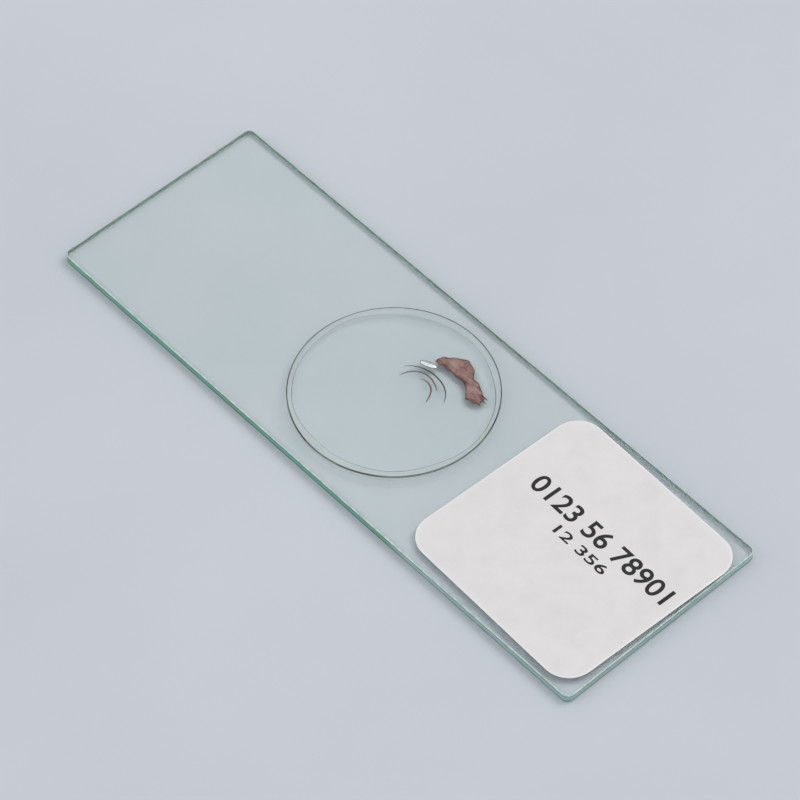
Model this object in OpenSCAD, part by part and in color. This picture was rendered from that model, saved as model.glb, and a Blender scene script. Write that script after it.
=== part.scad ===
// Prepared microscope slide, lying flat with its label side up.
//
// A ground glass plate carries a thin stained section and a few loose strands. They are sealed in a
// film of clear resin under a round cover glass. A paper label with rounded corners is stuck on one end.
//
// Origin: middle of the plate's underside. +X points to the label end, +Y to the long edge that the
// top of the label faces, and +Z out of the label side.

/* [Glass plate] */
// Length of the glass plate
slide_l = 76; // [75:0.5:80]
// Width of the glass plate
slide_w = 26; // [25:0.5:30]
// Thickness of the glass plate
slide_t = 1.1; // [0.8:0.05:2]
// Radius of the plate's eased corners, seen from above
corner_r = 0.8; // [0.4:0.1:2]
// Width of the ground bevel where the faces meet the edges
arris = 0.12; // [0.05:0.01:0.3]

/* [Label] */
// Length of the label along the plate
label_l = 24.2; // [15:0.1:25]
// Width of the label across the plate
label_w = 23.8; // [15:0.1:24]
// Thickness of the label with its glue
label_t = 0.1; // [0.05:0.01:0.3]
// Radius of the label's corners
label_r = 3; // [1:0.1:5]
// Gap from the end of the plate to the middle of the label's short edge
label_gap = 0.5; // [0.4:0.1:3]
// Turn of the label about its own middle, in degrees
label_turn = -2; // [-3:0.5:3]

/* [Cover glass] */
// Diameter of the round cover glass
cover_d = 22; // [20:0.5:25]
// Thickness of the cover glass
cover_t = 0.17; // [0.13:0.01:0.25]
// Width of the eased rim of the cover glass
cover_arris = 0.03; // [0.02:0.01:0.05]
// Distance of the cover glass's centre from the plate's middle, towards the label
cover_x = -0.9; // [-3:0.1:0]

/* [Resin] */
// Thickness of the resin film between the two glasses
resin_t = 0.12; // [0.1:0.01:0.2]
// Mean distance from the cover glass's rim in to the edge of the resin
resin_inset = 0.7; // [0.5:0.05:1.5]
// Height of the waves in the edge of the resin
resin_wave = 0.3; // [0.1:0.05:0.4]
// Length of the air bubble caught in the resin
bubble_l = 1.9; // [1:0.1:2.2]
// Width of the air bubble
bubble_w = 0.7; // [0.3:0.05:0.8]
// Gap between the bubble and the outermost strand
bubble_gap = 0.12; // [0.1:0.01:0.3]

/* [Section] */
// Length of the stained section
section_l = 7.4; // [6:0.1:8.5]
// Width of each of the section's two lobes
section_w = 2.3; // [1.8:0.1:3]
// Thickness of the section
section_t = 0.03; // [0.02:0.01:0.04]
// Sideways step from one lobe of the section down to the other
section_step = 1.5; // [0.5:0.1:2]
// Height of each wave of ragged teeth round the section's outline
section_rag = 0.07; // [0.03:0.01:0.1]
// Length of the frayed teeth at the section's end by the label
section_fray = 0.25; // [0.1:0.05:0.3]
// Distance of the section's middle from the cover glass's centre, towards the label
section_x = 3.6; // [2:0.1:4]
// Distance of the section's middle in from the cover glass's rim, across the plate
section_in = 4.6; // [4:0.1:6]

/* [Strands] */
// Number of loose strands
strand_n = 3; // [1:1:4]
// Width of a strand
strand_w = 0.16; // [0.08:0.01:0.2]
// Thickness of a strand
strand_t = 0.08; // [0.05:0.01:0.09]
// Radius of the outermost strand's curve
strand_r = 3.4; // [3:0.1:4]
// Spacing of the strands
strand_pitch = 0.7; // [0.5:0.05:0.8]
// How far a strand wanders from its curve
strand_wander = 0.12; // [0.05:0.01:0.15]
// Least gap between the section's far lobe and the outermost strand
strand_gap = 0.3; // [0.2:0.05:0.6]
// Distance of the strands' common centre from the section's middle, away from the label
strand_back = 2.3; // [1.5:0.1:3]

/* [Hidden] */

// Fineness of the round solids, the points round a free-form outline and the steps along a strand
$fn = 96;
outline_n = 90;
strand_steps = 20;

// Heights of the resting surfaces above the underside
resin_z = slide_t;
cover_z = slide_t + resin_t;

// Middle of the label, along the plate
label_x = slide_l / 2 - label_gap - label_l / 2;

// How far the mean edge of the resin lies from the cover glass's centre
resin_r = cover_d / 2 - resin_inset;

// The section's middle, from the cover glass's centre
section_mid = [section_x, cover_d / 2 - section_in];
// Turn of the wave that bends the section's middle line, over half its length, and where it starts
bend_turn = 160;
bend_start = 50;
// Share of the width that the waist takes off, where it lies and how long it is, in half lengths
waist_depth = 0.42;
waist_at = 0.22;
waist_long = 0.2;
// Roundness of the section's ends: under 1 is blunter than an ellipse
end_round = 0.8;
// How far the frayed teeth spread round the section's end, in degrees, and how many would go all round
fray_spread = 35;
fray_teeth = 20;

// How far below the section's middle its far lobe can reach, as the middle line rises there
lobe_low = section_w / 2 + 2 * section_rag;
// The strands curve round one point below that lobe
strand_reach = strand_r + strand_w / 2 + strand_wander;
strand_mid = section_mid - [strand_back, lobe_low + strand_gap + strand_reach];
// Where each strand starts and ends, in degrees round that point, from the outermost in
strand_spans = [[24, 150], [52, 166], [6, 112], [60, 140]];
// Direction of the bubble from the strands' centre
bubble_way = 112;

// Lays something out from the cover glass's centre, at the height z
module under_cover(z) {
    translate([cover_x, 0, z]) children();
}

// Profile of a ground edge: a rectangle whose outer corners are bevelled
function ground_half(reach, thick, bevel) = [
    [0, 0],
    [reach - bevel, 0],
    [reach, bevel],
    [reach, thick - bevel],
    [reach - bevel, thick],
    [0, thick]
];

// The same profile with both its outer ends bevelled
module ground_bar(reach, thick, bevel, run) {
    rotate([90, 0, 0])
        linear_extrude(height = run, center = true)
            for (side = [0, 1])
                mirror([side, 0]) polygon(ground_half(reach, thick, bevel));
}

// A disc with a bevelled rim
module ground_disc(reach, thick, bevel) {
    rotate_extrude() polygon(ground_half(reach, thick, bevel));
}

// A flat shape with rounded corners
module rounded(l, w, r) {
    square([l - 2 * r, w], center = true);
    square([l, w - 2 * r], center = true);
    for (x = [-1, 1], y = [-1, 1])
        translate([x * (l / 2 - r), y * (w / 2 - r)]) circle(r);
}

module glass_slide() {
    color([0.74, 0.86, 0.82, 0.55]) {
        ground_bar(slide_l / 2, slide_t, arris, slide_w - 2 * corner_r);
        rotate([0, 0, 90]) ground_bar(slide_w / 2, slide_t, arris, slide_l - 2 * corner_r);
        for (x = [-1, 1], y = [-1, 1])
            translate([x * (slide_l / 2 - corner_r), y * (slide_w / 2 - corner_r), 0])
                ground_disc(corner_r, slide_t, arris);
    }
}

module label() {
    color([0.93, 0.92, 0.93])
        translate([label_x, 0, slide_t])
            rotate([0, 0, label_turn])
                linear_extrude(height = label_t) rounded(label_l, label_w, label_r);
}

// Half the section's width at u, from -1 at its far end to 1 at the label's side: two lobes and a waist
function lobe(u) = section_w / 2 * (1 - waist_depth * exp(-pow((u - waist_at) / waist_long, 2)));

// The section's middle line: up at the far lobe, down at the other
function bend(u) = section_step / 2 * cos(bend_turn * u + bend_start);

// Two waves of ragged teeth at the angle a round the outline, a coarse one and a fine one
function ragged(a) = section_rag * (sin(7 * a) + cos(16 * a));

// Frayed teeth that stick out towards the label, for a from -180 to 180
function frayed(a) = section_fray * exp(-pow(a / fray_spread, 2)) * cos(fray_teeth * a);

// One point of the section's outline, at the angle a round it
function section_point(a) = [
    section_l / 2 * cos(a) + frayed(a),
    bend(cos(a)) + lobe(cos(a)) * sign(sin(a)) * pow(abs(sin(a)), end_round) + ragged(a)
];

module section_shape() {
    translate(section_mid) polygon([for (i = [1:outline_n]) section_point(360 * i / outline_n - 180)]);
}

module tissue_section() {
    color([0.55, 0.36, 0.32])
        under_cover(resin_z)
            linear_extrude(height = section_t) section_shape();
}

// A point on strand k, at the angle a round the strands' centre and off its middle line by side
function strand_point(k, a, side) =
    (strand_r - k * strand_pitch + strand_wander * sin(3 * a + 100 * k) + side) * [cos(a), sin(a)];

// The outline of strand k, counted inwards from the outermost: out along one side and back along the other
module strand_shape(k) {
    from = strand_spans[k][0];
    step = (strand_spans[k][1] - from) / strand_steps;
    polygon(concat(
        [for (i = [0:strand_steps]) strand_point(k, from + i * step, -strand_w / 2)],
        [for (i = [strand_steps:-1:0]) strand_point(k, from + i * step, strand_w / 2)]
    ));
}

module hair_strands() {
    color([0.42, 0.3, 0.26])
        under_cover(resin_z)
            linear_extrude(height = strand_t)
                translate(strand_mid)
                    for (k = [0:strand_n - 1]) strand_shape(k);
}

// The bubble's outline lies along the curve of the strands, outside the outermost
module bubble_shape() {
    translate(strand_mid)
        rotate(bubble_way)
            translate([strand_reach + bubble_gap + bubble_w / 2, 0]) {
                square([bubble_w, bubble_l - bubble_w], center = true);
                for (end = [-1, 1])
                    translate([0, end * (bubble_l - bubble_w) / 2]) circle(bubble_w / 2);
            }
}

// One point of the resin's wavy edge
function resin_point(a) =
    (resin_r + resin_wave * (0.6 * sin(2 * a + 40) + 0.3 * sin(5 * a) + 0.1 * sin(9 * a + 70))) * [cos(a), sin(a)];

module resin_shape() {
    polygon([for (i = [0:outline_n - 1]) resin_point(360 * i / outline_n)]);
}

module mounting_medium() {
    color([0.93, 0.93, 0.86, 0.5])
        difference() {
            under_cover(resin_z)
                linear_extrude(height = resin_t)
                    difference() {
                        resin_shape();
                        bubble_shape();
                    }
            tissue_section();
            hair_strands();
        }
}

module cover_glass() {
    color([0.82, 0.9, 0.88, 0.4])
        under_cover(cover_z) ground_disc(cover_d / 2, cover_t, cover_arris);
}

glass_slide();
label();
tissue_section();
hair_strands();
mounting_medium();
cover_glass();
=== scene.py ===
# %% [markdown]
# # A prepared microscope slide
#
# A prepared slide is a plate of clear glass with a stained section sealed under a thin round cover glass,
# and a paper label stuck on one end. The solids of its construction come in as a fixed frame. Each piece
# below is worked out afresh as a finer skin, lies in that frame and stands for the solid that it names.

# %% Load the frame
import math

import bpy
import numpy as np
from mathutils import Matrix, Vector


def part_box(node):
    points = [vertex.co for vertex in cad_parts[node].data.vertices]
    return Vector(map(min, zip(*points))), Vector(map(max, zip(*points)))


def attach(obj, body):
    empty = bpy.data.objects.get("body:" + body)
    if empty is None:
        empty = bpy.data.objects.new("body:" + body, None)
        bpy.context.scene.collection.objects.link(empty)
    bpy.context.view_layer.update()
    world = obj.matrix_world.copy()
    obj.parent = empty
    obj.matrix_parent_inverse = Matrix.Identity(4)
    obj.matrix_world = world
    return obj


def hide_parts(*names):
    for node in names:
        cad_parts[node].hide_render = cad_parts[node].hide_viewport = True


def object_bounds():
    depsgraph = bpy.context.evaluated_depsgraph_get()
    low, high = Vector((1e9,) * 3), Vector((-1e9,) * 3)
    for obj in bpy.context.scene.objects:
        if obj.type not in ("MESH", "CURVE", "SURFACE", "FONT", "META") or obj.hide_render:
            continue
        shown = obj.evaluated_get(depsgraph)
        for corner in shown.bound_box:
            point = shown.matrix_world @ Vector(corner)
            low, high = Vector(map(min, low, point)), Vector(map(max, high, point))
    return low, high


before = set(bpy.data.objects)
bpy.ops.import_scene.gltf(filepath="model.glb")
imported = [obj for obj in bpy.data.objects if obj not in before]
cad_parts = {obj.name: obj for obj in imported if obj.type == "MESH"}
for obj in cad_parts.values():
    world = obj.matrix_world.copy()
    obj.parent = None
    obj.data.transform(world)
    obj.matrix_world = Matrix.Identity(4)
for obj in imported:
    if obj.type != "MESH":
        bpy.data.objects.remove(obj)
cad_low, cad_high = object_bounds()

print("nodes:", ", ".join(sorted(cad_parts)))
print("box of the solids, in mm:", [round(1000 * (b - a), 2) for a, b in zip(cad_low, cad_high)])

# %% [markdown]
# ## Where everything lies
#
# The shapes below are worked out in millimetres, because that is how a slide is measured, and turned into
# metres when a mesh is made. Heights and places are read from the frame's boxes, so they can't drift from
# the solids. Only what a box can't tell, such as the radius of a corner, is written down here.

# %% Read the places from the frame
MM = 0.001


def box_mm(node):
    """The lowest and highest corner of a node's box, in millimetres."""
    low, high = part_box(node)
    return np.array(low) / MM, np.array(high) / MM


plate_low, plate_high = box_mm("glass_slide")
label_low, label_high = box_mm("label")
cover_low, cover_high = box_mm("cover_glass")
resin_low, resin_high = box_mm("mounting_medium")
section_low, section_high = box_mm("tissue_section")
strand_low, strand_high = box_mm("hair_strands")

plate_half = (plate_high - plate_low)[:2] / 2
cover_mid = (cover_low + cover_high)[:2] / 2
cover_r = (cover_high - cover_low)[0] / 2
label_mid = (label_low + label_high)[:2] / 2
print("cover glass centre and radius:", cover_mid.round(2), round(cover_r, 2))

# %% [markdown]
# ## The camera
#
# The slide is small, so it is looked at through a long lens from four tenths of a metre. The camera looks
# down at about fifty degrees, with the label at the lower right and its lines readable. LOOK_BACK points
# from the slide to the camera, and FIELD is how wide a strip it sees there, in metres.

# %% Place the camera
LOOK_BACK = np.array([0.453, -0.416, 0.789])
DISTANCE = 0.41
FIELD = 0.0815
SENSOR_MM = 36.0


def put(name, data):
    """Makes an object of some data and puts it in the scene."""
    made = bpy.data.objects.new(name, data)
    bpy.context.scene.collection.objects.link(made)
    return made


camera_data = bpy.data.cameras.new("camera")
camera = put("camera", camera_data)
bpy.context.scene.camera = camera
camera_data.sensor_width = SENSOR_MM
camera_data.lens = SENSOR_MM * DISTANCE / FIELD
camera_data.clip_start = 0.01
camera_data.clip_end = 20.0
middle = (np.array(cad_low) + np.array(cad_high)) / 2
camera.location = middle + DISTANCE * LOOK_BACK / np.linalg.norm(LOOK_BACK)
facing = Vector(middle) - camera.location
camera.rotation_euler = facing.to_track_quat("-Z", "Y").to_euler()
print("lens in mm:", round(camera_data.lens, 1))

# %% [markdown]
# ## Colours and finishes
#
# Colours are written as they look on a screen, from 0 to 255, and turned into the linear values that a
# shader works with. A finish starts as one Principled shader whose plain sockets are set one by one. Other
# nodes can then be added and fed into its sockets.


# %% Helpers for colours and finishes
def screen(red, green, blue):
    """A colour as it looks on a screen, as a linear colour with full alpha."""
    share = np.array([red, green, blue]) / 255
    linear = np.where(share <= 0.04045, share / 12.92, ((share + 0.055) / 1.055) ** 2.4)
    return (*linear.tolist(), 1.0)


def new_finish(name, **sockets):
    """A finish with one Principled shader, whose named sockets are set one by one."""
    finish = bpy.data.materials.new(name)
    finish.use_nodes = True
    shader = finish.node_tree.nodes["Principled BSDF"]
    for socket, value in sockets.items():
        shader.inputs[socket.replace("_", " ")].default_value = value
    return finish


def plug(finish, target, value):
    """Gives a socket of a finish's node a plain value, or the output of another node."""
    if isinstance(value, bpy.types.NodeSocket):
        finish.node_tree.links.new(value, target)
    else:
        target.default_value = value


def add(finish, kind, **sockets):
    """Adds a node to a finish, with what its named sockets take."""
    node = finish.node_tree.nodes.new("ShaderNode" + kind)
    for socket, value in sockets.items():
        plug(finish, node.inputs[socket.replace("_", " ")], value)
    return node


def feed(finish, socket, output):
    """Feeds a pattern into a socket of the finish's Principled shader."""
    plug(finish, finish.node_tree.nodes["Principled BSDF"].inputs[socket], output)


print("a mid grey of 128 is", round(screen(128, 128, 128)[0], 3), "in linear light")

# %% [markdown]
# ## Patterns
#
# No real surface has one flat colour. Here every pattern is soft noise, read from Object coordinates, which
# are metres, so that a patch keeps its real size on every piece. A ramp turns it into colours, and a bump
# turns it into a fine relief.


# %% Helpers for patterns
def places(finish, stretch=(1.0, 1.0, 1.0)):
    """Object coordinates, stretched along each axis."""
    coordinates = add(finish, "TexCoord")
    return add(finish, "Mapping", Vector=coordinates.outputs["Object"], Scale=stretch).outputs["Vector"]


def clouds(finish, grain_mm, detail=3.0, roughness=0.55, stretch=(1.0, 1.0, 1.0)):
    """Soft noise between 0 and 1, whose patches are about grain_mm across."""
    noise = add(finish, "TexNoise", Vector=places(finish, stretch), Scale=1 / (grain_mm * MM),
                Detail=detail, Roughness=roughness)
    return noise.outputs["Fac"]


def shades(finish, factor, *stops):
    """Turns a value into a colour, through stops of (value, colour)."""
    ramp = add(finish, "ValToRGB", Fac=factor)
    elements = ramp.color_ramp.elements
    while len(elements) < len(stops):
        elements.new(0.5)
    for element, (position, colour) in zip(elements, stops):
        element.position = position
        element.color = colour
    return ramp.outputs["Color"]


def cloudy(finish, grain_mm, *stops, **noise):
    """Colours a finish by clouds of grain_mm, through stops of (value, colour)."""
    feed(finish, "Base Color", shades(finish, clouds(finish, grain_mm, **noise), *stops))


def relief(finish, height, depth_mm, strength=1.0):
    """Feeds a value into the normal as bumps of about depth_mm."""
    bump = add(finish, "Bump", Height=height, Distance=depth_mm * MM, Strength=strength)
    feed(finish, "Normal", bump.outputs["Normal"])


print("patches of 2 mm are noise of scale", round(1 / (2 * MM)))

# %% [markdown]
# ## The table
#
# The slide lies on pale paper: one large square just under it, faintly mottled and with the grain of paper.

# %% Make the table
FLOOR_HALF = 3.0
FLOOR_DROP = 0.00001

paper_sheet = bpy.data.meshes.new("table")
corners = FLOOR_HALF * np.array([[-1, -1], [1, -1], [1, 1], [-1, 1]])
paper_sheet.from_pydata([(x, y, -FLOOR_DROP) for x, y in corners], [], [(0, 1, 2, 3)])
table = put("table", paper_sheet)
table_finish = new_finish("table_paper", Roughness=0.85, Specular_IOR_Level=0.2)
cloudy(table_finish, 60, (0.3, screen(196, 200, 206)), (0.7, screen(203, 207, 212)), detail=4.0)
relief(table_finish, clouds(table_finish, 0.8, detail=4.0), 0.02, strength=0.4)
paper_sheet.materials.append(table_finish)
print("table:", 2 * FLOOR_HALF, "m wide")

# %% [markdown]
# ## The sky and the lamps
#
# The sky is a soft gradient, a little darker at the horizon, so that the rims of the glass have something
# dark to pick up. One large soft lamp stands high behind the slide to the right, and a weak one fills from
# the left. Both are large, because light reaches the paper under the glass only by bouncing to a lamp through
# it, and a small lamp would leave it grainy.

# %% Make the sky and the lamps
HORIZON_COLOUR = screen(198, 203, 210)
SKY_COLOUR = (0.76, 0.77, 0.80, 1.0)
SKY_REACHED_AT = 0.75

world = bpy.data.worlds.new("sky")
bpy.context.scene.world = world
world.use_nodes = True
sky = world.node_tree
sky_direction = sky.nodes.new("ShaderNodeTexCoord")
sky_height = sky.nodes.new("ShaderNodeSeparateXYZ")
sky_ramp = sky.nodes.new("ShaderNodeValToRGB")
sky.links.new(sky_direction.outputs["Generated"], sky_height.inputs["Vector"])
sky.links.new(sky_height.outputs["Z"], sky_ramp.inputs["Fac"])
sky.links.new(sky_ramp.outputs["Color"], sky.nodes["Background"].inputs["Color"])
horizon, overhead = sky_ramp.color_ramp.elements
horizon.position = 0.0
horizon.color = HORIZON_COLOUR
overhead.position = SKY_REACHED_AT
overhead.color = SKY_COLOUR
sky.nodes["Background"].inputs["Strength"].default_value = 1.0


def soft_lamp(name, towards, distance, size, radiance, colour):
    """A square lamp that faces the slide. Its power is its radiance times pi and its area."""
    data = bpy.data.lights.new(name, "AREA")
    data.shape = "SQUARE"
    data.size = size
    data.energy = radiance * math.pi * size * size
    data.color = colour
    lamp = put(name, data)
    way = Vector(towards).normalized()
    lamp.location = Vector(middle) + distance * way
    lamp.rotation_euler = (-way).to_track_quat("-Z", "Y").to_euler()


soft_lamp("key_lamp", towards=(0.25, 0.95, 1.25), distance=0.9, size=0.55, radiance=2.6,
          colour=(1.0, 0.98, 0.95))
soft_lamp("fill_lamp", towards=(-0.6, -0.8, 0.5), distance=1.0, size=0.6, radiance=0.9,
          colour=(0.96, 0.98, 1.0))

# %% [markdown]
# ## Skins from rings
#
# Every glass piece, the label and the section are closed skins, and all of them can be wound up from rings:
# rows of points that run round the piece, each joined to the next by a band of faces, with a fan at either
# end. It is a grid of two parameters, the ring and the turn round it, so whole skins are numpy arrays. A
# cube serves as a try: two rings of four points and the middles of two fans.


# %% Helpers that wind rings into skins
def ring(flat, height):
    """A flat outline of n points lifted to a height, or to n heights."""
    return np.column_stack([flat, np.broadcast_to(height, len(flat))])


def skin(rings, slots, inward=False):
    """Joins m closed rings of n points by m - 1 bands of quads and closes each end by a fan on its middle.

    slots names the finish of the first fan, of each band and of the last fan. The rings run counter-clockwise
    seen from the last one, and then the faces point outwards. inward turns them round, as for a hollow.
    """
    rings = np.asarray(rings, float)
    count, turn = rings.shape[:2]
    at = np.arange(turn)
    following = (at + 1) % turn
    rows = turn * np.arange(count - 1)[:, None]
    quads = np.stack([rows + at, rows + following, rows + turn + following, rows + turn + at], axis=-1)
    first_pole = count * turn
    last = turn * (count - 1)
    first_fan = np.column_stack([np.full(turn, first_pole), following, at])
    last_fan = np.column_stack([np.full(turn, first_pole + 1), last + at, last + following])
    points = np.vstack([rings.reshape(-1, 3), rings[0].mean(axis=0), rings[-1].mean(axis=0)])
    faces = [first_fan, *quads, last_fan]
    if inward:
        faces = [part[:, ::-1] for part in faces]
    return points, faces, list(slots)


square = np.array([[0, 0], [1, 0], [1, 1], [0, 1]])
cube_points, cube_faces, _ = skin([ring(square, 0), ring(square, 1)], ["side"] * 3)
print("a cube:", len(cube_points), "points,", sum(len(part) for part in cube_faces), "faces")

# %% [markdown]
# ## The outlines that the glasses share
#
# Plate, resin and cover glass are bonded: light passes from one to the next as if they were one piece of
# glass. To show that, the plate's skin and the cover's have exactly the resin's outline in them, and inside
# it a finish that neither bends nor mirrors. So all three are wound on the same turns round the middle of
# the cover glass, where both the plate's outline and the resin's are given by direction alone. Two faces in
# one place would catch a ray between them for ever, so bonded faces lie BOND_GAP apart.

# %% Work out the shared outlines
CORNER_R = 0.8
ARRIS = 0.12
RESIN_INSET = 0.7
RESIN_WAVE = 0.3
BOND_GAP = 0.002
ARC_STEPS = 9
EVEN_TURNS = 360
TINY = 1e-12


def rounded_outline(turns, half, radius, start):
    """Where a ray from start in each direction leaves a rectangle with rounded corners.

    The ray runs to the nearer of the two straight sides that it heads for. If that spot lies beside a
    corner's arc, the ray stops at the arc instead: at -b + sqrt(b * b - c), where b is how far the start lies
    past the arc's centre along the ray, and c is the start's squared distance from that centre less the
    radius squared.
    """
    way = np.column_stack([np.cos(turns), np.sin(turns)])
    way = np.where(np.abs(way) < TINY, TINY, way)
    reach = np.min((np.sign(way) * half - start) / way, axis=1)
    spot = start + reach[:, None] * way
    centre = np.sign(spot) * (half - radius)
    beside_arc = np.all(np.abs(spot) > half - radius, axis=1)
    gone = np.sum(way * (start - centre), axis=1)
    spare = np.sum((start - centre) ** 2, axis=1) - radius**2
    to_arc = -gone + np.sqrt(np.maximum(gone**2 - spare, 0))
    return start + np.where(beside_arc, to_arc, reach)[:, None] * way


def turns_with_corners(half, radius, start, even):
    """Even turns all round, together with the turns at which the corners' arcs are seen from start."""
    quarter = np.linspace(0, np.pi / 2, ARC_STEPS)
    arcs = np.concatenate([quarter + side * np.pi / 2 for side in range(4)])
    signs = np.repeat([[1, 1], [-1, 1], [-1, -1], [1, -1]], ARC_STEPS, axis=0)
    spots = signs * (half - radius) + radius * np.column_stack([np.cos(arcs), np.sin(arcs)]) - start
    seen = np.arctan2(spots[:, 1], spots[:, 0])
    evenly = np.linspace(-np.pi, np.pi, even, endpoint=False)
    return np.unique(np.concatenate([evenly, seen]).round(6))


def resin_outline(turns, pinch=0.0):
    """The wavy edge of the resin: a circle with waves of 2, 5 and 9 crests round it, drawn in by pinch."""
    waves = (0.6 * np.sin(2 * turns + math.radians(40)) + 0.3 * np.sin(5 * turns)
             + 0.1 * np.sin(9 * turns + math.radians(70)))
    reach = cover_r - RESIN_INSET + RESIN_WAVE * waves - pinch
    return cover_mid + reach[:, None] * np.column_stack([np.cos(turns), np.sin(turns)])


TURNS = turns_with_corners(plate_half, CORNER_R, cover_mid, EVEN_TURNS)
print("turns round the cover glass:", len(TURNS))

# %% [markdown]
# ## Clear glass
#
# Window glass looks clear through its faces, so they are a smooth Principled glass with the faintest green
# tint. The bond has the index of air, so light goes straight through it, and on the plate it keeps the
# plate's tint.

# %% Make the clear finishes
GLASS_INDEX = 1.52

polished = new_finish("polished_glass", Roughness=0.0, IOR=GLASS_INDEX, Transmission_Weight=1.0)
cloudy(polished, 12.0, (0.35, (0.925, 0.965, 0.950, 1)), (0.65, (0.945, 0.975, 0.962, 1)), detail=2.0)

bonded = new_finish("bonded_glass", Roughness=0.0, IOR=1.0, Transmission_Weight=1.0,
                    Base_Color=(1.0, 1.0, 1.0, 1.0))
bonded_plate = new_finish("bonded_plate", Roughness=0.0, IOR=1.0, Transmission_Weight=1.0,
                          Base_Color=(0.935, 0.970, 0.956, 1.0))
print("clear finishes:", polished.name, bonded.name, bonded_plate.name)

# %% [markdown]
# ## The ground edges
#
# Seen through its edges, window glass is green, because light runs a long way inside before it leaves there.
# The ground edges scatter light, so they are part clear and part solid green, with painted shade beside the
# bevels and painted light in the middle. The green drifts between teal and leaf along the edge, and turns
# pale
# beside the label: painted light from the label's white back, which shines into the glass. The narrow bevels
# are frosted almost white, partly frosting and partly a painted highlight.

# %% Make the ground finishes
EDGE_SHADE_STOPS = (0.1, 0.32, 0.66, 0.88)
EDGE_WAVER = 0.07
TEAL_BELOW = 0.38
LEAF_ABOVE = 0.62
PALE_FROM = -1.0
PALE_TO = 2.0


def worked(finish, sum_of, first, second):
    """Works out one value from two by ADD, SUBTRACT or MULTIPLY. Each is an output or a plain number."""
    maths = add(finish, "Math")
    maths.operation = sum_of
    for target, value in zip(maths.inputs, (first, second)):
        plug(finish, target, value)
    return maths.outputs["Value"]


def mixed(finish, factor, first, second):
    """One colour where the factor is 0 and another where it is 1. Each is an output."""
    blend = add(finish, "Mix", Factor=factor)
    blend.data_type = "RGBA"
    colours = [socket for socket in blend.inputs if socket.type == "RGBA"]
    for target, output in zip(colours, (first, second)):
        plug(finish, target, output)
    return [socket for socket in blend.outputs if socket.type == "RGBA"][0]


ground_edge = new_finish("ground_edge", Roughness=0.32, IOR=GLASS_INDEX, Transmission_Weight=0.45)
edge_places = add(ground_edge, "SeparateXYZ", Vector=places(ground_edge)).outputs
edge_share = add(ground_edge, "MapRange", Value=edge_places["Z"], From_Max=plate_high[2] * MM)
edge_waver = add(ground_edge, "MapRange", Value=clouds(ground_edge, 3.0, stretch=(1, 1, 0.2)),
                 To_Min=-EDGE_WAVER, To_Max=EDGE_WAVER)
edge_level = worked(ground_edge, "ADD", edge_share.outputs["Result"], edge_waver.outputs["Result"])
# Each edge ramp is dark at both ends and light in the middle: painted shade beside the bevels, painted light
# in the middle.
teal_edge, green_edge, label_lit_edge = [
    shades(ground_edge, edge_level, *zip(EDGE_SHADE_STOPS, colours)) for colours in (
        (screen(30, 92, 78), screen(132, 216, 194), screen(150, 232, 210), screen(40, 108, 92)),
        (screen(40, 88, 58), screen(138, 204, 158), screen(156, 220, 174), screen(48, 104, 76)),
        (screen(96, 148, 138), screen(202, 240, 230), screen(216, 248, 240), screen(112, 160, 150)))]
edge_hue = add(ground_edge, "MapRange", Value=clouds(ground_edge, 9.0, detail=2.0, stretch=(1, 1, 0.1)),
               From_Min=TEAL_BELOW, From_Max=LEAF_ABOVE)
clear_edge = mixed(ground_edge, edge_hue.outputs["Result"], teal_edge, green_edge)
# Pale beside the label: painted light from the label's white back shining into the glass.
beside_label = add(ground_edge, "MapRange", Value=edge_places["X"],
                   From_Min=(label_low[0] + PALE_FROM) * MM, From_Max=(label_low[0] + PALE_TO) * MM)
feed(ground_edge, "Base Color", mixed(ground_edge, beside_label.outputs["Result"], clear_edge, label_lit_edge))
relief(ground_edge, clouds(ground_edge, 0.06, detail=4.0), 0.004)

# The bevels' near white is partly real frosting and partly a painted highlight.
frosted_arris_highlight = new_finish("frosted_arris_highlight", Roughness=0.5, IOR=GLASS_INDEX, Transmission_Weight=0.3)
cloudy(frosted_arris_highlight, 0.4, (0.35, screen(176, 212, 200)), (0.6, screen(236, 246, 242)), detail=4.0)
relief(frosted_arris_highlight, clouds(frosted_arris_highlight, 0.05, detail=4.0), 0.006)
print("ground finishes:", ground_edge.name, frosted_arris_highlight.name)

# %% [markdown]
# ## The glass plate
#
# The plate is cut from sheet glass and its edges are ground, with a narrow bevel along each arris. Its rings
# run from the underside up the bevels and edges, and over the top face to the outline of the resin. They
# become one mesh object, which stands for the plate's node in the frame.


# %% Make the plate
def make_piece(name, skins, finishes, sharp=35.0, marks=None):
    """Makes one mesh object from skins measured in millimetres.

    Edges that turn by more than sharp degrees stay crisp. marks holds values by name, one for each point, for
    a finish to read.
    """
    points, faces, slots, offset = [], [], [], 0
    for skin_points, parts, part_slots in skins:
        for part, slot_name in zip(parts, part_slots):
            faces += (part + offset).tolist()
            slots += [list(finishes).index(slot_name)] * len(part)
        points.append(skin_points)
        offset += len(skin_points)
    mesh = bpy.data.meshes.new(name)
    mesh.from_pydata(np.vstack(points) * MM, [], faces)
    for finish in finishes.values():
        mesh.materials.append(finish)
    mesh.polygons.foreach_set("material_index", slots)
    mesh.polygons.foreach_set("use_smooth", np.ones(len(faces), bool))
    mesh.set_sharp_from_angle(angle=math.radians(sharp))
    for mark, values in (marks or {}).items():
        mesh.attributes.new(mark, "FLOAT", "POINT").data.foreach_set("value", values)
    mesh.validate()
    piece = put(name, mesh)
    print(f"{name}: {len(mesh.vertices)} points, {len(mesh.polygons)} faces")
    return piece


def stand_for(piece, node):
    """The piece rides with the slide and stands for one node of the frame, if any."""
    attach(piece, "root")
    if node:
        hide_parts(node)


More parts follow.
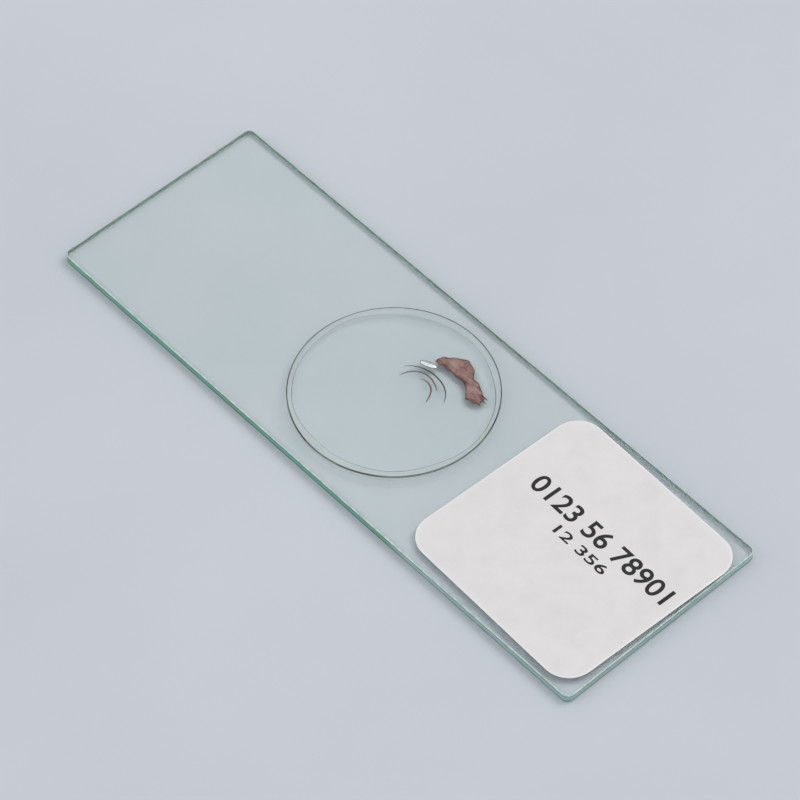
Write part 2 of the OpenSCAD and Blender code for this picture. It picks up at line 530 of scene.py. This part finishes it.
plate_bottom, plate_top = plate_low[2], plate_high[2]
plate_full = rounded_outline(TURNS, plate_half, CORNER_R, cover_mid)
plate_drawn_in = rounded_outline(TURNS, plate_half - ARRIS, CORNER_R - ARRIS, cover_mid)
plate_rings = [
    ring(plate_drawn_in, plate_bottom),
    ring(plate_full, plate_bottom + ARRIS),
    ring(plate_full, plate_top - ARRIS),
    ring(plate_drawn_in, plate_top),
    ring(resin_outline(TURNS), plate_top),
]
plate_skin = skin(plate_rings, ["face", "arris", "edge", "arris", "face", "bond"])
plate = make_piece("plate", [plate_skin], {"face": polished, "arris": frosted_arris_highlight,
                                           "edge": ground_edge, "bond": bonded_plate})
stand_for(plate, "glass_slide")

# %% [markdown]
# ## The label
#
# The label is a coated paper sticker with round corners, stuck on a little askew. It is wound as rings too:
# up its cut edge, over a softened rim and in across the face in many steps, so that the paper can cockle
# slightly where the glue took up moisture. label_rim lists how far its rim's rings are drawn in and how high
# they lie.

# %% Wind the label
LABEL_HALF = np.array([24.2, 23.8]) / 2
LABEL_R = 3.0
LABEL_TURN = math.radians(-2)
LABEL_GLUE_GAP = 0.003
LABEL_EVEN_TURNS = 180
LABEL_RINGS = 26
FACE_FROM = 0.25
LAST_HALF = 0.1
COCKLE = 0.008
LEAST_R = 0.05


def turned(flat, angle, about):
    """Turns flat points by an angle round the origin and then moves them."""
    cos, sin = math.cos(angle), math.sin(angle)
    return flat @ np.array([[cos, sin], [-sin, cos]]) + about


def label_ring(inset, height):
    """The label's outline drawn in by inset, at a height above the plate."""
    outline = rounded_outline(LABEL_TURNS, LABEL_HALF - inset, max(LABEL_R - inset, LEAST_R), np.zeros(2))
    return ring(turned(outline, LABEL_TURN, label_mid), plate_top + height)


def cockled(points, depth):
    """Lowers a ring of the label's face by up to depth, in slow waves across the paper."""
    x, y = points[:, 0], points[:, 1]
    waves = np.sin(0.9 * x + 0.4 * y) + np.sin(0.5 * x - 1.1 * y + 1.0) + np.sin(1.7 * x + 0.8 * y + 2.0)
    return points - np.column_stack([0 * x, 0 * x, depth * (0.5 + waves / 6)])


LABEL_TURNS = turns_with_corners(LABEL_HALF, LABEL_R, np.zeros(2), LABEL_EVEN_TURNS)
label_t = label_high[2] - plate_top
label_rim = [(0.03, LABEL_GLUE_GAP), (0.0, 0.03), (0.0, 0.06), (0.025, 0.085), (0.07, label_t)]
label_rings = [label_ring(inset, height) for inset, height in label_rim]
label_insets = np.linspace(FACE_FROM, LABEL_HALF.min() - LAST_HALF, LABEL_RINGS)
label_rings += [cockled(label_ring(inset, label_t), COCKLE) for inset in label_insets]
label_skin = skin(label_rings, ["paper"] * (len(label_rings) + 1))
print("label:", len(label_rings), "rings of", len(LABEL_TURNS), "points")

# %% [markdown]
# ## The label's paper
#
# Coated paper has a faint mottle and a relief of fibres. Along its cut rim the paper is a little whiter, a
# painted highlight. So each ring is marked: 1 on the cut rim, fading to 0 across the face.

# %% Make the label
HIGHLIGHT_FADE = 0.1


def marked(finish, name):
    """The value that a piece's points carry under a name."""
    mark = add(finish, "Attribute")
    mark.attribute_name = name
    return mark.outputs["Fac"]


last_inset = label_rim[-1][0]
cut_depths = np.concatenate([np.zeros(len(label_rim) - 1), [last_inset], label_insets])
label_marks = np.exp(-cut_depths / HIGHLIGHT_FADE)

label_paper = new_finish("label_paper", Roughness=0.42, Specular_IOR_Level=0.45, Coat_Weight=0.15,
                         Coat_Roughness=0.3)
# The mottle is the paper's own; its faint warm tint is painted light, a warm bounce.
mottled_warm_lit_paper = shades(label_paper, clouds(label_paper, 2.5, detail=6.0, roughness=0.6),
                       (0.25, screen(218, 214, 212)), (0.75, screen(226, 223, 221)))
# Painted highlight: the paper is whiter along its cut rim, fading across the face.
rim_highlight_paper = shades(label_paper, clouds(label_paper, 0.3),
                   (0.3, screen(238, 237, 238)), (0.7, screen(246, 246, 246)))
feed(label_paper, "Base Color", mixed(label_paper, marked(label_paper, "rim"), mottled_warm_lit_paper, rim_highlight_paper))
relief(label_paper, clouds(label_paper, 0.18, detail=6.0, roughness=0.65), 0.012)
label = make_piece("label_sheet", [label_skin], {"paper": label_paper}, sharp=60.0,
                   marks={"rim": np.append(np.repeat(label_marks, len(LABEL_TURNS)), [1.0, 0.0])})
stand_for(label, "label")

# %% [markdown]
# ## The print on the label
#
# The print is a bold row with a smaller row centred below it. Plain counting digits stand in for words. They
# start as text, become a mesh, and are then stretched to fill the row that they are given.

# %% Make the print
INK_T = 0.006
STROKE_WEIGHT = 0.015


def printed_row(words, spot, size):
    """A row of text as points and faces in millimetres, with its middle on a spot measured from the label's.

    size gives its width and height. The strokes are thickened, and points that share a place are made one.
    """
    curve = bpy.data.curves.new("row", "FONT")
    curve.body = words
    curve.offset = STROKE_WEIGHT
    curve.extrude = 0.5
    curve.resolution_u = 6
    text = put("row", curve)
    bpy.context.view_layer.update()
    mesh = bpy.data.meshes.new_from_object(text.evaluated_get(bpy.context.evaluated_depsgraph_get()))
    points = np.zeros(len(mesh.vertices) * 3)
    mesh.vertices.foreach_get("co", points)
    points = points.reshape(-1, 3)
    _, first, weld = np.unique(points.round(5), axis=0, return_index=True, return_inverse=True)
    points, weld = points[first], weld.ravel()
    faces = [weld[list(face.vertices)].tolist() for face in mesh.polygons]
    bpy.data.objects.remove(text)
    bpy.data.meshes.remove(mesh)
    low, high = points.min(axis=0), points.max(axis=0)
    share = (points - low) / (high - low) - 0.5
    flat = turned(share[:, :2] * size + spot, LABEL_TURN, label_mid)
    return np.column_stack([flat, plate_top + label_t + INK_T * share[:, 2]]), faces


ink = new_finish("printing_ink", Roughness=0.5, Specular_IOR_Level=0.4)
cloudy(ink, 0.25, (0.35, screen(12, 11, 13)), (0.75, screen(30, 28, 30)), detail=4.0)
row_points, row_faces = printed_row("0123 56 78901", spot=[1.1, 2.7], size=[19.4, 2.3])
low_points, low_faces = printed_row("12 356", spot=[0.8, 0.2], size=[7.2, 1.2])
print_mesh = bpy.data.meshes.new("label_print")
print_mesh.from_pydata(np.vstack([row_points, low_points]) * MM, [],
                       row_faces + [[i + len(row_points) for i in face] for face in low_faces])
print_mesh.materials.append(ink)
label_print = put("label_print", print_mesh)
stand_for(label_print, None)
print("label_print:", len(print_mesh.polygons), "faces")

# %% [markdown]
# ## The stained section
#
# The section is a slice of tissue, thinner than paper, that settled in two lobes with a waist between them
# and frayed at one end. Its outline is a formula: a bent middle line, a width with a waist in it, and short
# waves for the ragged edge.

# %% Work out the section's outline
SECTION_L = 7.4
SECTION_W = 2.3
SECTION_STEP = 1.5
SECTION_RAG = 0.07
SECTION_FRAY = 0.25
SECTION_MID = cover_mid + np.array([3.6, cover_r - 4.6])
BEND_TURN = 160
BEND_START = 50
WAIST_DEPTH = 0.42
WAIST_AT = 0.22
WAIST_LONG = 0.2
END_ROUND = 0.8
FRAY_SPREAD = math.radians(35)


def boxed(wave, power):
    """A sine or a cosine with its size raised to a power. A power below 1 makes a boxier oval of a circle."""
    return np.sign(wave) * np.abs(wave) ** power


def fray(angle):
    """How far the teeth stick out at an angle round the section: a bell curve about the frayed end."""
    return SECTION_FRAY * np.exp(-((angle / FRAY_SPREAD) ** 2))


def section_outline(angle):
    """The section's edge at an angle round it: two lobes on a bent middle line, with ragged waves.

    The middle line is a cosine of the share along it, the width has a waist taken off by a bell curve, and
    two short waves roughen the edge. The end is drawn in by as much as its teeth stick out.
    """
    along = np.cos(angle)
    bend = SECTION_STEP / 2 * np.cos(np.radians(BEND_TURN * along + BEND_START))
    lobe = SECTION_W / 2 * (1 - WAIST_DEPTH * np.exp(-(((along - WAIST_AT) / WAIST_LONG) ** 2)))
    side = boxed(np.sin(angle), END_ROUND)
    waves = SECTION_RAG * (np.sin(7 * angle) + np.cos(16 * angle))
    return SECTION_MID + np.stack([SECTION_L / 2 * along - fray(angle), bend + lobe * side + waves], axis=-1)


print("section's middle:", SECTION_MID.round(2), "and its far end:", section_outline(np.pi).round(2))

# %% [markdown]
# ## The section's body
#
# The body is wound as loops across its length. Each loop goes over the top and back underneath, with soft
# edges, and the top is wrinkled. Each point is marked with how near the outline it lies, because the stain
# gathers there.

# %% Wind the section's body
SIDE_ROUND = 0.8
TOP_ROUND = 0.45
WRINKLE_DEPTH = 0.45
SECTION_LOOPS = 150
LOOP_POINTS = 72
END_MARGIN = 0.02
RIM_WIDTH = 0.16


def wrinkled(x, y):
    """How deep the top is wrinkled, from 0 to 1: three slow waves, the last of them curved."""
    curved = np.sin(3.1 * (x - SECTION_MID[0]) * (y - SECTION_MID[1]) + 1.0)
    return (np.sin(2.1 * x + 3.3 * y) + np.sin(5.3 * x - 2.4 * y) + curved) / 6 + 0.5


section_bottom = section_low[2] + 2 * BOND_GAP
section_t = section_high[2] - section_bottom
loop = np.linspace(0, 2 * np.pi, LOOP_POINTS, endpoint=False)
across, lift = boxed(np.cos(loop), SIDE_ROUND), boxed(np.sin(loop), TOP_ROUND)

angles = np.linspace(END_MARGIN, np.pi - END_MARGIN, SECTION_LOOPS)
upper, lower = section_outline(angles), section_outline(-angles)
half_wide = (upper[:, 1:] - lower[:, 1:]) / 2
flat_x = np.broadcast_to(upper[:, :1], (SECTION_LOOPS, LOOP_POINTS))
flat_y = (upper[:, 1:] + lower[:, 1:]) / 2 + half_wide * across
section_z = section_bottom + section_t * (1 - WRINKLE_DEPTH * wrinkled(flat_x, flat_y)) * (0.5 + 0.5 * lift)
body_skin = skin(np.stack([flat_x, flat_y, section_z], axis=-1), ["stain"] * (SECTION_LOOPS + 1), inward=True)
to_side = half_wide * (1 - np.abs(across))
to_end = np.minimum(flat_x - flat_x.min(), flat_x.max() - flat_x)
body_marks = np.exp(-np.minimum(to_side, to_end) / RIM_WIDTH).ravel()
print("section's greatest width, in mm:", round(2 * half_wide.max(), 2))

# %% [markdown]
# ## The frayed teeth
#
# The frayed end has seven fine teeth. They can't be part of the body, because one loop across it can't hold
# several teeth side by side. So each is a small spike of its own that grows out of the last loops.

# %% Wind the teeth
TOOTH_TURNS = np.radians([-54, -36, -18, 0, 18, 36, 54])
TOOTH_HALF = 0.13
TOOTH_ROOT = 0.25
ROOT_THICK = 0.35
ROOT_RISE = 2.2
TOOTH_THICK = 0.9
TOOTH_STEPS = 14
ROOT_MARK = 0.2


def tooth_skin(turn):
    """A spike along the plate: its width and height shrink as a root of the share left to its tip.

    It starts thin inside the body and rises to its full thickness, so that no step shows where it comes out
    of the top. Thicknesses are shares of the section's.
    """
    tip = section_outline(np.array([turn]))[0] + [2 * fray(turn), 0]
    left = 1 - np.linspace(0, 1, TOOTH_STEPS)[:, None]
    x = tip[0] - (2 * fray(turn) + TOOTH_ROOT) * left
    y = tip[1] + TOOTH_HALF * np.maximum(left, 0.02) ** 0.7 * across
    thick = np.minimum(ROOT_THICK + ROOT_RISE * (1 - left), TOOTH_THICK) * np.maximum(left, 0.1) ** 0.4
    z = section_bottom + section_t * thick * (0.5 + 0.5 * lift)
    rings = np.stack([np.broadcast_to(x, y.shape), y, z], axis=-1)
    return skin(rings, ["stain"] * (TOOTH_STEPS + 1))


teeth = [tooth_skin(turn) for turn in TOOTH_TURNS]
tooth_marks = np.append(np.repeat(np.linspace(ROOT_MARK, 1, TOOTH_STEPS), LOOP_POINTS), [ROOT_MARK, 1.0])
section_marks = np.concatenate([body_marks, [1.0, 1.0], np.tile(tooth_marks, len(teeth))])
print("teeth:", len(teeth))

# %% [markdown]
# ## The stain
#
# The stain is patchy, with streaks along the section, and darkest at its rim. Light also comes through the
# tissue, so the finish lets a share of it out on the other side.


# %% Make the section
def let_through(finish, colour, share):
    """Lets a share of the light that falls on a thin piece out of its other side, tinted by its colour."""
    tree = finish.node_tree
    through = add(finish, "BsdfTranslucent", Color=colour)
    blend = add(finish, "MixShader", Fac=share)
    tree.links.new(tree.nodes["Principled BSDF"].outputs["BSDF"], blend.inputs[1])
    tree.links.new(through.outputs["BSDF"], blend.inputs[2])
    tree.links.new(blend.outputs["Shader"], tree.nodes["Material Output"].inputs["Surface"])


stain = new_finish("stained_tissue", Roughness=0.55, Specular_IOR_Level=0.3)
mottle = clouds(stain, 0.8, detail=5.0, roughness=0.6)
streaks = clouds(stain, 0.3, detail=4.0, stretch=(0.25, 1.0, 1.0))
half_mottle = worked(stain, "MULTIPLY", mottle, 0.5)
half_streaks = worked(stain, "MULTIPLY", streaks, 0.5)
rim_stain = worked(stain, "MULTIPLY", marked(stain, "rim"), 0.3)
stain_level = worked(stain, "SUBTRACT", worked(stain, "ADD", half_mottle, half_streaks), rim_stain)
stain_colour = shades(stain, stain_level, (0.2, screen(96, 60, 54)), (0.36, screen(158, 110, 100)),
                      (0.47, screen(214, 166, 158)), (0.64, screen(238, 208, 200)))
feed(stain, "Base Color", stain_colour)
relief(stain, clouds(stain, 0.12, detail=4.0), 0.01)
let_through(stain, stain_colour, share=0.3)
section = make_piece("section_sheet", [body_skin, *teeth], {"stain": stain}, sharp=80.0,
                     marks={"rim": section_marks})
stand_for(section, "tissue_section")

# %% [markdown]
# ## The loose strands
#
# Three fine strands lie curled beside the section. Each is a flattened tube along an arc that wanders a
# little, and it tapers to nothing at both ends. The outermost is a dull green, the others are brown.

# %% Make the strands
STRAND_R = 3.4
STRAND_PITCH = 0.7
STRAND_W = 0.16
STRAND_WANDER = 0.12
STRAND_TAPER = 0.35
STRAND_GAP = 0.3
STRAND_BACK = 2.3
STRAND_REACH = STRAND_R + STRAND_W / 2 + STRAND_WANDER
LOBE_LOW = SECTION_W / 2 + 2 * SECTION_RAG
STRAND_MID = SECTION_MID - np.array([STRAND_BACK, LOBE_LOW + STRAND_GAP + STRAND_REACH])
STRAND_SPANS = [(24, 150), (52, 166), (6, 112)]
STRAND_STEPS = 90
STRAND_SIDES = 12


def strand_skin(number, span, finish):
    """A tube round an arc that wanders by a sine, oval across, and thinned at its ends by a root of sin."""
    share = np.linspace(0, 1, STRAND_STEPS)
    angle = np.radians(span[0] + (span[1] - span[0]) * share)
    radius = STRAND_R - STRAND_PITCH * number + STRAND_WANDER * np.sin(3 * angle + math.radians(100 * number))
    taper = np.maximum(np.sin(np.pi * share), 0.01) ** STRAND_TAPER
    round_it = np.linspace(0, 2 * np.pi, STRAND_SIDES, endpoint=False)
    out = radius[:, None] + STRAND_W / 2 * taper[:, None] * np.cos(round_it)
    strand_bottom = strand_low[2] + 2 * BOND_GAP
    strand_t = strand_high[2] - strand_bottom
    height = strand_bottom + strand_t / 2 * (1 + taper[:, None] * np.sin(round_it))
    x = STRAND_MID[0] + out * np.cos(angle)[:, None]
    y = STRAND_MID[1] + out * np.sin(angle)[:, None]
    return skin(np.stack([x, y, height], axis=-1), [finish] * (STRAND_STEPS + 1), inward=True)


brown_fibre = new_finish("brown_fibre", Roughness=0.4, Specular_IOR_Level=0.4)
cloudy(brown_fibre, 0.8, (0.3, screen(96, 62, 50)), (0.7, screen(160, 126, 110)))
green_fibre = new_finish("green_fibre", Roughness=0.4, Specular_IOR_Level=0.4)
cloudy(green_fibre, 0.8, (0.3, screen(40, 64, 46)), (0.7, screen(84, 112, 88)))
strand_finishes = ["green", "brown", "brown"]
strand_skins = [strand_skin(number, span, finish)
                for number, (span, finish) in enumerate(zip(STRAND_SPANS, strand_finishes))]
strands = make_piece("strand_fibres", strand_skins, {"green": green_fibre, "brown": brown_fibre}, sharp=80.0)
stand_for(strands, "hair_strands")

# %% [markdown]
# ## The resin film
#
# The cover glass is stuck down with a clear resin, which ran out to a wavy edge and drew in between the two
# glasses. Only that edge and a caught air bubble can be seen, so the rings are all spent on the edge.

# %% Wind the resin
PINCH = 0.06
EDGE_RINGS = 9

share = np.linspace(0, 1, EDGE_RINGS)
resin_bottom, resin_top = resin_low[2] + BOND_GAP, resin_high[2] - BOND_GAP
resin_rings = [ring(resin_outline(TURNS, PINCH * math.sin(math.pi * s)),
                    resin_bottom + s * (resin_top - resin_bottom)) for s in share]
resin_skin = skin(resin_rings, ["bond"] + ["resin"] * (EDGE_RINGS - 1) + ["bond"])
print("resin, from its bottom to its top, in mm:", round(resin_bottom, 3), round(resin_top, 3))

# %% [markdown]
# ## The air bubble
#
# The bubble is a hollow in the resin, so its skin faces inwards. It lies along the curve of the strands. Its
# sides slope, so they turn the light away and look dark, and over them lies a low domed roof, drawn in ring
# by ring from the last of the sides. The lows and the top are shares of the film's thickness.

# %% Wind the bubble
BUBBLE_HALF = np.array([0.7, 1.9]) / 2
BUBBLE_WAY = math.radians(112)
BUBBLE_GAP = 0.12
BUBBLE_OUT = STRAND_REACH + BUBBLE_GAP + BUBBLE_HALF[0]
BUBBLE_ROUND = 0.8
BUBBLE_SLOPE = 0.12
BUBBLE_LOW = 0.08
ROOF_LOW = 0.68
ROOF_TOP = 0.92
BUBBLE_SIDES = 48
BUBBLE_RINGS = 17
RING_MARGIN = 0.05
ROOF_BANDS = 3
ROOF_RINGS = 8
ROOF_LAST = 0.08

around = np.linspace(0, 2 * np.pi, BUBBLE_SIDES, endpoint=False)
down = np.linspace(RING_MARGIN, np.pi - RING_MARGIN, BUBBLE_RINGS)
slope = BUBBLE_SLOPE * (1 - np.sin(down))[:, None]
oval = np.stack([boxed(np.cos(around), BUBBLE_ROUND) * (BUBBLE_HALF[0] - slope),
                 boxed(np.sin(around), BUBBLE_ROUND) * (BUBBLE_HALF[1] - slope)], axis=-1)
bubble_mid = STRAND_MID + BUBBLE_OUT * np.array([math.cos(BUBBLE_WAY), math.sin(BUBBLE_WAY)])
roof = np.linspace(1, ROOF_LAST, ROOF_RINGS)[1:]
oval = np.concatenate([oval, roof[:, None, None] * oval[-1]])
wall_level = (BUBBLE_LOW + ROOF_LOW) / 2 - (ROOF_LOW - BUBBLE_LOW) / 2 * np.cos(down)
roof_level = ROOF_LOW + (ROOF_TOP - ROOF_LOW) * (1 - roof**2)
bubble_level = np.concatenate([wall_level, roof_level])
bubble_flat = turned(oval, BUBBLE_WAY, bubble_mid)
resin_t = resin_high[2] - resin_low[2]
bubble_z = np.broadcast_to(resin_low[2] + resin_t * bubble_level[:, None], oval.shape[:2])
bubble_rings = np.concatenate([bubble_flat, bubble_z[..., None]], axis=-1)
bubble_slots = ["wall"] * (BUBBLE_RINGS - ROOF_BANDS) + ["silver"] * (ROOF_BANDS + ROOF_RINGS)
bubble_skin = skin(bubble_rings, bubble_slots, inward=True)
print("bubble's middle:", bubble_mid.round(2))

# %% [markdown]
# ## The resin's finishes
#
# The resin is clear with a faint straw tint. The roof of the bubble mirrors light like silver, because it
# strikes the air at a slant, so its finish is a bright metal. The walls are painted shade: a dark glass that
# lets little through, for the sloping sides that turn the light away.

# %% Make the resin
resin = new_finish("clear_resin", Roughness=0.0, IOR=GLASS_INDEX, Transmission_Weight=1.0)
cloudy(resin, 2.0, (0.3, (0.97, 0.965, 0.93, 1)), (0.7, (0.985, 0.98, 0.955, 1)))
silver = new_finish("silvery_film", Roughness=0.15, Metallic=1.0)
cloudy(silver, 0.3, (0.3, screen(244, 248, 246)), (0.7, screen(254, 255, 254)))
relief(silver, clouds(silver, 0.2, detail=2.0), 0.016)
# Painted shade: the bubble's sloping walls are coloured dark.
painted_shade_wall = new_finish("bubble_wall_shade", Roughness=0.1, IOR=GLASS_INDEX, Transmission_Weight=0.2)
cloudy(painted_shade_wall, 0.3, (0.3, screen(20, 28, 24)), (0.7, screen(58, 72, 62)))
film = make_piece("resin_film", [resin_skin, bubble_skin],
                  {"resin": resin, "bond": bonded, "wall": painted_shade_wall, "silver": silver}, sharp=60.0)
stand_for(film, "mounting_medium")

# %% [markdown]
# ## The cover glass
#
# The cover glass is a disc little thicker than stout paper. From above only its rim shows, as a fine dark
# line of painted shade. Light that enters the face beside the cut edge is lost in that edge, so the rim's
# painted shade also covers a narrow border of the top. Its colour drifts between dark brown and grey green
# in long stretches.

# %% Make the cover glass
COVER_ARRIS = 0.03
COVER_BORDER = 0.12


def circle(turns, radius):
    """A circle round the middle of the cover glass."""
    return cover_mid + radius * np.column_stack([np.cos(turns), np.sin(turns)])


cover_rings = [
    ring(resin_outline(TURNS), cover_low[2]),
    ring(circle(TURNS, cover_r - COVER_ARRIS), cover_low[2]),
    ring(circle(TURNS, cover_r), cover_low[2] + COVER_ARRIS),
    ring(circle(TURNS, cover_r), cover_high[2] - COVER_ARRIS),
    ring(circle(TURNS, cover_r - COVER_ARRIS), cover_high[2]),
    ring(circle(TURNS, cover_r - COVER_BORDER), cover_high[2]),
]
cover_skin = skin(cover_rings, ["bond", "face", "rim", "rim", "rim", "rim", "face"])
thin_glass = new_finish("thin_glass", Roughness=0.0, IOR=GLASS_INDEX, Transmission_Weight=1.0)
cloudy(thin_glass, 6.0, (0.3, (0.975, 0.99, 0.985, 1)), (0.7, (0.985, 0.995, 0.99, 1)))
# Painted shade: the rim and a narrow border of the top are coloured dark.
rim_painted_shade = new_finish("rim_painted_shade", Roughness=0.12, IOR=GLASS_INDEX, Transmission_Weight=0.25)
cloudy(rim_painted_shade, 6.0, (0.4, screen(40, 38, 30)), (0.6, screen(100, 114, 98)))
cover = make_piece("cover_disc", [cover_skin], {"bond": bonded, "face": thin_glass, "rim": rim_painted_shade})
stand_for(cover, "cover_glass")

# %% [markdown]
# ## Let the light through
#
# Light crosses many faces of glass before it reaches the paper, so paths may bounce more often than usual.

# %% Finish
cycles = bpy.context.scene.cycles
cycles.max_bounces = 32
cycles.transmission_bounces = 28
cycles.transparent_max_bounces = 28
cycles.glossy_bounces = 12
cycles.blur_glossy = 0.0
bpy.context.scene.view_settings.view_transform = "Standard"
